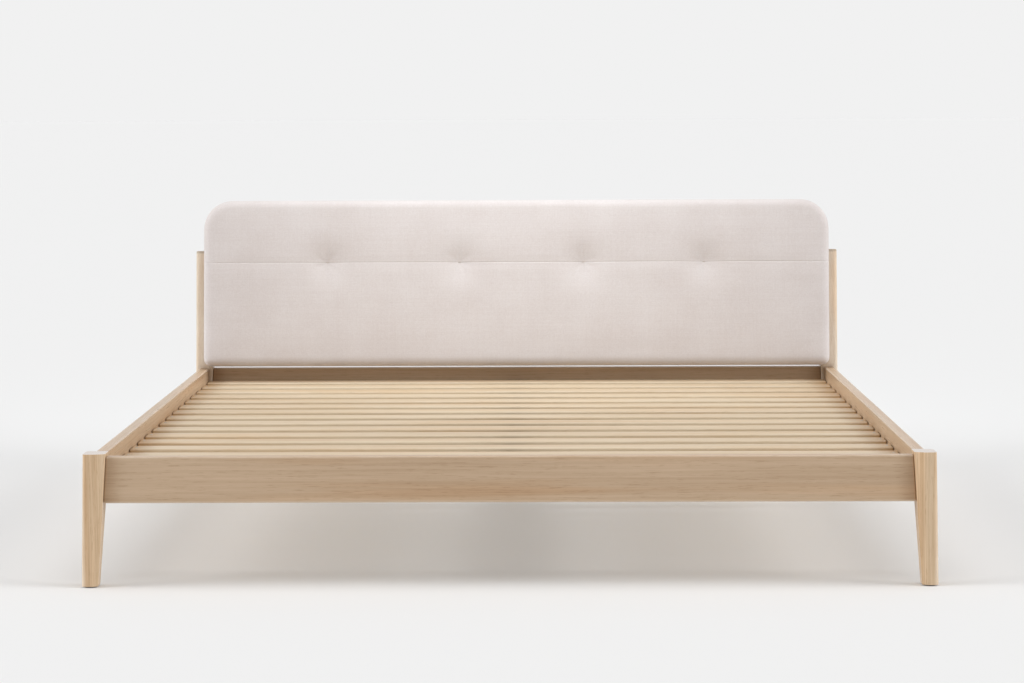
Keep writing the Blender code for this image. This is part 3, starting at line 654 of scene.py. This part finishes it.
def build_pad():
    """The pad's shell: front, round edges, side walls and a hem on the back, all in quads."""
    xs = grid_columns()
    zs, seam_row = grid_rows()
    shape = bmesh.new()
    grid = []
    for x in xs:
        column = []
        for z in zs:
            place = round_corner(x, z)
            column.append(shape.verts.new((place[0], edge_drop(x, z), place[1])))
        grid.append(column)
    for left, right in zip(grid, grid[1:]):
        for k in range(len(zs) - 1):
            shape.faces.new((left[k], right[k], right[k + 1], left[k + 1]))
    loops = [grid_rim(grid)]
    for step in range(1, WALL_ROWS + 1):
        y = EDGE_RADIUS + (PANEL_DEPTH - EDGE_RADIUS) * step / WALL_ROWS
        loops.append([shape.verts.new((vert.co.x, y, vert.co.z)) for vert in loops[0]])
    hem = []
    for vert in loops[0]:
        x = vert.co.x * (1 - 2 * HEM_WIDTH / PANEL_WIDTH)
        z = vert.co.z + (PANEL_HEIGHT / 2 - vert.co.z) * 2 * HEM_WIDTH / PANEL_HEIGHT
        hem.append(shape.verts.new((x, PANEL_DEPTH, z)))
    loops.append(hem)
    for first, second in zip(loops, loops[1:]):
        join_loops(shape, first, second)
    bmesh.ops.recalc_face_normals(shape, faces=shape.faces)
    shape.verts.index_update()
    rows = {vert.index: k for column in grid for k, vert in enumerate(column)}
    mesh = bpy.data.meshes.new("headboard_pad")
    shape.to_mesh(mesh)
    shape.free()
    pad = bpy.data.objects.new("headboard_pad", mesh)
    bpy.context.scene.collection.objects.link(pad)
    return pad, rows, seam_row


def grid_rim(grid):
    """The outline's vertices in order round the panel."""
    bottom = [column[0] for column in grid]
    right = grid[-1][1:]
    top = [column[-1] for column in reversed(grid[:-1])]
    left = list(reversed(grid[0][1:-1]))
    return bottom + right + top + left


def join_loops(shape, first, second):
    for k, vert in enumerate(first):
        after = (k + 1) % len(first)
        shape.faces.new((vert, first[after], second[after], second[k]))


def hold_strength(vert, rows):
    """How firmly the foam and the stitches hold one point of the cover."""
    if vert.index not in rows or vert.co.y > HELD_DEPTH:
        return 1.0
    rise = vert.co.z - SEAM_HEIGHT
    nearest = min(math.hypot(vert.co.x - place, rise) for place in TUFT_PLACES)
    return 1.0 if nearest < STITCH_RADIUS else FOAM_GRIP


def settle_pad(pad, rows):
    """Shapes the foam, then lets the cover tighten over it as cloth, held at its edges and tufts."""
    holds = pad.vertex_groups.new(name="holds")
    for vert in pad.data.vertices:
        holds.add([vert.index], hold_strength(vert, rows), "REPLACE")
        if vert.index in rows:
            vert.co.y += foam_relief(vert.co.x, vert.co.z)
    start = [vert.co.copy() for vert in pad.data.vertices]
    cloth = pad.modifiers.new("cloth", "CLOTH")
    for key, value in CLOTH_SETTINGS.items():
        setattr(cloth.settings, key, value)
    cloth.settings.vertex_group_mass = "holds"
    cloth.settings.effector_weights.gravity = 0.0
    cloth.collision_settings.use_collision = False
    cloth.point_cache.frame_start = 1
    cloth.point_cache.frame_end = CLOTH_FRAMES
    scene = bpy.context.scene
    scene.frame_start = 1
    scene.frame_end = CLOTH_FRAMES
    for number in range(1, CLOTH_FRAMES + 1):
        scene.frame_set(number)
    graph = bpy.context.evaluated_depsgraph_get()
    moved = [vert.co.copy() for vert in pad.evaluated_get(graph).data.vertices]
    pad.modifiers.remove(cloth)
    scene.frame_set(1)
    for vert, first, last in zip(pad.data.vertices, start, moved):
        step = last - first
        vert.co = first + step * min(1.0, MOST_MOVE / max(step.length, 1e-9))


def tuft_ripples(x, z):
    """Small tension folds that spread out from each tuft."""
    height = 0.0
    for number, place in enumerate(TUFT_PLACES):
        dx, dz = x - place, z - SEAM_HEIGHT
        away = (math.hypot(dx, dz) - RIPPLE_RADIUS) / RIPPLE_SPREAD
        turn = RIPPLES * math.atan2(dz, dx) + number * RIPPLE_TURN
        spot = (dx * RIPPLE_GRAIN, dz * RIPPLE_GRAIN, number * RIPPLE_STEP)
        uneven = 1 + RIPPLE_UNEVEN * noise.noise(spot)
        height += RIPPLE_HEIGHT * uneven * math.exp(-away * away) * math.cos(turn)
    return height


def sew_pad(pad, rows, seam_row):
    """Sinks the seam between the two rolls, and gives each tuft its folds and a fine crease above it."""
    lip = SEAM_LIP * SEAM_SINK
    sink = {-1: lip, 0: SEAM_SINK, 1: lip}
    for vert in pad.data.vertices:
        row = rows.get(vert.index)
        if row is None or vert.co.y > SEWN_DEPTH:
            continue
        vert.co.y += sink.get(row - seam_row, 0.0) + tuft_ripples(vert.co.x, vert.co.z)
        rise = (vert.co.z - SEAM_HEIGHT) / (PANEL_HEIGHT - SEAM_HEIGHT)
        if rise <= 0:
            continue
        for number, place in enumerate(TUFT_PLACES):
            line = place + CREASE_WANDER * noise.noise((number * CREASE_STEP, 0.0, vert.co.z * CREASE_GRAIN))
            fade = (1 - rise) ** CREASE_FADE * min(1.0, rise * CREASE_START)
            vert.co.y += CREASE_DEPTH * fade * math.exp(-(((vert.co.x - line) / CREASE_WIDTH) ** 2))


def close_back(pad):
    """Refines the shell once, then closes it with one flat face inside its hem."""
    finer = pad.modifiers.new("finer", "SUBSURF")
    finer.levels = 1
    finer.render_levels = 1
    graph = bpy.context.evaluated_depsgraph_get()
    smooth = bpy.data.meshes.new_from_object(pad.evaluated_get(graph))
    pad.modifiers.clear()
    shape = bmesh.new()
    shape.from_mesh(smooth)
    bpy.data.meshes.remove(smooth)
    edge = [e for e in shape.edges if e.is_boundary]
    bmesh.ops.holes_fill(shape, edges=edge, sides=0)
    bmesh.ops.recalc_face_normals(shape, faces=shape.faces)
    for face in shape.faces:
        face.smooth = len(face.verts) == 4
    shape.to_mesh(pad.data)
    shape.free()


def make_pad():
    pad, rows, seam_row = build_pad()
    settle_pad(pad, rows)
    sew_pad(pad, rows, seam_row)
    close_back(pad)
    pad.matrix_world = PANEL_PLACE
    paint(pad, make_fabric("headboard_fabric", FABRIC_LIGHT, FABRIC_SHADE))
    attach(pad, ROOT)
    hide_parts("headboard_cover", "headboard_foam", "headboard_core")
    return pad


# Hardware: small turned and bent pieces, all in mesh code
def new_piece(name, shape, material, place=None):
    """Turns a bmesh into a piece that rides on the frame."""
    bmesh.ops.recalc_face_normals(shape, faces=shape.faces)
    mesh = bpy.data.meshes.new(name)
    shape.to_mesh(mesh)
    shape.free()
    for face in mesh.polygons:
        face.use_smooth = True
    mesh.set_sharp_from_angle(angle=SHARP_ANGLE)
    piece = bpy.data.objects.new(name, mesh)
    bpy.context.scene.collection.objects.link(piece)
    if place is not None:
        piece.matrix_world = place
    paint(piece, material)
    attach(piece, ROOT)
    return piece


def round_radius(radius, angle):
    """A circle. It takes the angle, as every outline does, and does not use it."""
    return radius


def hex_radius(radius, angle):
    """A hexagon's outline, where radius is half its width across flats."""
    part = math.radians(60)
    return radius / math.cos((angle + part / 2) % part - part / 2)


def cross_radius(radius, angle):
    """A cross recess: four wings, and a narrow core between them."""
    wing = abs((angle + math.radians(45)) % math.radians(90) - math.radians(45))
    return radius if wing < CROSS_WING else radius * CROSS_CORE


def add_turned(shape, profile, place):
    """Adds one closed body of revolution about local Y to a bmesh. Profile rows are (radius, y, outline)."""
    loops = []
    for radius, y, outline in profile:
        loop = []
        for k in range(TURNED_SIDES):
            angle = math.tau * k / TURNED_SIDES
            reach = outline(radius, angle)
            point = place @ Vector((reach * math.cos(angle), y, reach * math.sin(angle)))
            loop.append(shape.verts.new(point))
        loops.append(loop)
    for first, second in zip(loops, loops[1:]):
        join_loops(shape, first, second)
    shape.faces.new(list(reversed(loops[0])))
    shape.faces.new(loops[-1])


def add_tube(shape, points, radius, sides=8):
    """Adds one round wire along some points to a bmesh."""
    loops = []
    for k, point in enumerate(points):
        ahead = points[min(k + 1, len(points) - 1)] - points[max(k - 1, 0)]
        turn = ahead.to_track_quat("Z", "Y")
        ring = []
        for step in range(sides):
            angle = math.tau * step / sides
            offset = Vector((math.cos(angle), math.sin(angle), 0)) * radius
            ring.append(shape.verts.new(point + turn @ offset))
        loops.append(ring)
    for first, second in zip(loops, loops[1:]):
        join_loops(shape, first, second)
    shape.faces.new(list(reversed(loops[0])))
    shape.faces.new(loops[-1])


BOLT_PROFILE = (
    (0.0026, -0.0360, round_radius),
    (0.0030, -0.0354, round_radius),
    (0.0030, 0.0000, round_radius),
    (0.0084, 0.0000, round_radius),
    (0.0088, 0.0003, round_radius),
    (0.0088, 0.0010, round_radius),
    (0.0084, 0.0013, round_radius),
    (0.0058, 0.0013, round_radius),
    (0.0058, 0.0020, round_radius),
    (0.0053, 0.0032, round_radius),
    (0.0044, 0.0039, round_radius),
    (0.0034, 0.0042, round_radius),
    (0.0022, 0.0042, hex_radius),
    (0.0020, 0.0040, hex_radius),
    (0.0020, 0.0018, hex_radius),
)
SCREW_PROFILE = (
    (0.0015, 0.0032, round_radius),
    (0.0038, 0.0006, round_radius),
    (0.0041, 0.0002, round_radius),
    (0.0041, 0.0000, round_radius),
    (0.0036, -0.0003, round_radius),
    (0.0025, -0.0004, cross_radius),
    (0.0022, 0.0000, cross_radius),
    (0.0010, 0.0016, cross_radius),
)


def make_bolts(material):
    """The bolts that clamp the panel to its cross rail, each with a washer and a hexagon socket."""
    to_panel = PANEL_PLACE.inverted()
    names = sorted(name for name in NODES if name.startswith("headboard_bolt_"))
    for name in names:
        low, high = (Vector(corner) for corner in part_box(name))
        middle = to_panel @ ((low + high) / 2)
        shape = bmesh.new()
        add_turned(shape, BOLT_PROFILE, Matrix())
        place = PANEL_PLACE @ Matrix.Translation((middle.x, BOLT_SEAT, middle.z))
        bolt = new_piece(name.replace("headboard", "panel"), shape, material, place)
        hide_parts(name)


def screw_place(point, outward):
    """A place whose local -Y points out of the wood."""
    return Matrix.Translation(point) @ (-Vector(outward)).to_track_quat("Y", "X").to_matrix().to_4x4()


def make_screws(material):
    """Countersunk screws: one at each end of each slat, and a row along each ledge."""
    shape = bmesh.new()
    slats = sorted(name for name in NODES if name.startswith("slat_") and name[5:].isdigit())
    for name in slats:
        low, high = (Vector(corner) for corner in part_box(name))
        for x in (low.x + SCREW_INSET, high.x - SCREW_INSET):
            point = (x, (low.y + high.y) / 2, high.z)
            add_turned(shape, SCREW_PROFILE, screw_place(point, (0, 0, 1)))
    new_piece("slat_screws", shape, material)
    shape = bmesh.new()
    for side, name in ((-1, "slat_ledge_left"), (1, "slat_ledge_right")):
        low, high = (Vector(corner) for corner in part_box(name))
        face = high.x if side < 0 else low.x
        length = high.y - low.y - 2 * LEDGE_SCREW_INSET
        for k in range(LEDGE_SCREWS):
            y = low.y + LEDGE_SCREW_INSET + length * k / (LEDGE_SCREWS - 1)
            place = screw_place((face, y, (low.z + high.z) / 2), (-side, 0, 0))
            add_turned(shape, SCREW_PROFILE, place)
    new_piece("ledge_screws", shape, material)


def outline_walk(inset, pitch):
    """Places and directions at an even pitch along the straight sides of the panel, this far inside."""
    half, top = PANEL_WIDTH / 2 - inset, PANEL_HEIGHT - inset
    high, low = CORNER_RADIUS, LOW_CORNER_RADIUS
    corners = (
        ((-half + low, inset), (half - low, inset)),
        ((half, inset + low), (half, top - high)),
        ((half - high, top), (-half + high, top)),
        ((-half, top - high), (-half, inset + low)),
    )
    for start, end in corners:
        start, end = Vector(start), Vector(end)
        count = max(1, round((end - start).length / pitch))
        along = (end - start).normalized()
        for k in range(count):
            yield start + (end - start) * (k + 0.5) / count, along


def make_staples(material):
    """Staples that hold the dust cloth to the back of the panel."""
    shape = bmesh.new()
    rng = random.Random(STAPLE_SEED)
    for spot, along in outline_walk(STAPLE_INSET, STAPLE_PITCH):
        angle = math.atan2(along.y, along.x) + rng.uniform(-STAPLE_SKEW, STAPLE_SKEW)
        reach = Vector((math.cos(angle), 0, math.sin(angle))) * STAPLE_WIDTH / 2
        centre = Vector((spot.x, STAPLE_DEPTH, spot.y))
        into = Vector((0, -STAPLE_LEG, 0))
        round_off = reach * STAPLE_ROUND
        path = [
            centre - reach + into,
            centre - reach + into * STAPLE_SHOULDER,
            centre - reach + round_off,
            centre + reach - round_off,
            centre + reach + into * STAPLE_SHOULDER,
            centre + reach + into,
        ]
        add_tube(shape, path, STAPLE_RADIUS)
    new_piece("cloth_staples", shape, material, PANEL_PLACE)


def make_stitches(pad, material):
    """One short pull of twine along the seam at each tuft."""
    shape = bmesh.new()
    for place in TUFT_PLACES:
        target = Vector((place, 0, SEAM_HEIGHT))
        points = (vert.co for vert in pad.data.vertices if vert.co.y < EDGE_RADIUS)
        near = (point for point in points if abs(point.x - place) < STITCH_SEARCH)
        floor = min(near, key=lambda co: (co.x - target.x) ** 2 + (co.z - target.z) ** 2).y
        path = []
        for k in range(STITCH_STEPS + 1):
            turn = math.pi * (k / STITCH_STEPS - 0.5)
            drop = STITCH_RISE * (1 - math.cos(turn) * STITCH_BOW)
            path.append(Vector((place + STITCH_REACH * math.sin(turn), floor + drop, SEAM_HEIGHT)))
        add_tube(shape, path, TWINE_RADIUS)
    new_piece("tuft_stitches", shape, material, PANEL_PLACE)


# Studio
def make_camera():
    camera = bpy.data.objects.new("camera", bpy.data.cameras.new("camera"))
    bpy.context.scene.collection.objects.link(camera)
    camera.data.lens = CAMERA_LENS
    camera.data.sensor_width = SENSOR_WIDTH
    camera.data.clip_end = CAMERA_CLIP_END
    forward = Vector(
        (
            math.sin(CAMERA_YAW) * math.cos(CAMERA_PITCH),
            math.cos(CAMERA_YAW) * math.cos(CAMERA_PITCH),
            -math.sin(CAMERA_PITCH),
        )
    )
    right = Vector((math.cos(CAMERA_YAW), -math.sin(CAMERA_YAW), 0))
    up = right.cross(forward)
    rolled_right = right * math.cos(CAMERA_ROLL) + up * math.sin(CAMERA_ROLL)
    rolled_up = up * math.cos(CAMERA_ROLL) - right * math.sin(CAMERA_ROLL)
    turn = Matrix((rolled_right, rolled_up, -forward)).transposed()
    place = Vector((CAMERA_RIGHT, LOW.y - CAMERA_DISTANCE, CAMERA_HEIGHT))
    camera.matrix_world = Matrix.Translation(place) @ turn.to_4x4()
    bpy.context.scene.camera = camera


def make_floor():
    shape = bmesh.new()
    bmesh.ops.create_circle(shape, cap_ends=True, segments=FLOOR_SIDES, radius=FLOOR_RADIUS)
    mesh = bpy.data.meshes.new("studio_floor")
    shape.to_mesh(mesh)
    shape.free()
    floor = bpy.data.objects.new("studio_floor", mesh)
    bpy.context.scene.collection.objects.link(floor)
    material, _, shader = new_material("studio_floor")
    shader.inputs["Base Color"].default_value = (FLOOR_ALBEDO,) * 3 + (1.0,)
    shader.inputs["Roughness"].default_value = 1.0
    shader.inputs["Specular IOR Level"].default_value = 0.0
    mesh.materials.append(material)


def add_lamp(name, kind):
    """A lamp that lights the scene without showing in reflections."""
    lamp = bpy.data.objects.new(name, bpy.data.lights.new(name, kind))
    lamp.visible_glossy = False
    bpy.context.scene.collection.objects.link(lamp)
    return lamp


def add_sun(name, azimuth, elevation, spread, strength):
    """A soft light from a direction: azimuth 0 is behind the camera, 180 behind the headboard."""
    sun = add_lamp(name, "SUN")
    sun.data.energy = strength
    sun.data.angle = math.radians(spread)
    around, up = math.radians(azimuth), math.radians(elevation)
    toward = Vector((math.sin(around) * math.cos(up), -math.cos(around) * math.cos(up), math.sin(up)))
    sun.rotation_euler = toward.to_track_quat("Z", "Y").to_euler()


def add_softbox():
    """A softbox above the foot end that faces the headboard."""
    softbox = add_lamp("headboard_light", "AREA")
    softbox.data.shape = "RECTANGLE"
    softbox.data.size, softbox.data.size_y = SOFTBOX_SIZE
    softbox.data.energy = SOFTBOX_WATTS
    softbox.data.color = SOFTBOX_COLOUR
    softbox.data.spread = SOFTBOX_SPREAD
    softbox.location = (0.0, LOW.y + SOFTBOX_INSET, SOFTBOX_HEIGHT)
    target = Vector((0.0, HIGH.y, SOFTBOX_AIM))
    softbox.rotation_euler = (softbox.location - target).to_track_quat("Z", "Y").to_euler()


def make_studio():
    make_floor()
    world = bpy.data.worlds.new("studio")
    bpy.context.scene.world = world
    world.use_nodes = True
    tree = world.node_tree
    n = Nodes(tree)
    background = tree.nodes["Background"]
    path = n.add("ShaderNodeLightPath").node
    seen = n.math("MAXIMUM", path.outputs["Is Camera Ray"], path.outputs["Is Glossy Ray"])
    strength = n.remap(seen, 0.0, 1.0, AMBIENT, BACKDROP, "LINEAR")
    n.feed(background.inputs["Color"], (1, 1, 1, 1))
    n.feed(background.inputs["Strength"], strength)
    for name, settings in SUNS.items():
        add_sun(name, *settings)
    add_softbox()
    view = bpy.context.scene.view_settings
    view.view_transform = "Standard"
    view.look = "None"


make_camera()
make_studio()
finishes = make_shared_materials()
paint_nodes(finishes)
headboard_pad = make_pad()
make_bolts(finishes["zinc_steel"])
make_screws(finishes["zinc_steel"])
make_staples(finishes["zinc_steel"])
make_stitches(headboard_pad, finishes["cord"])
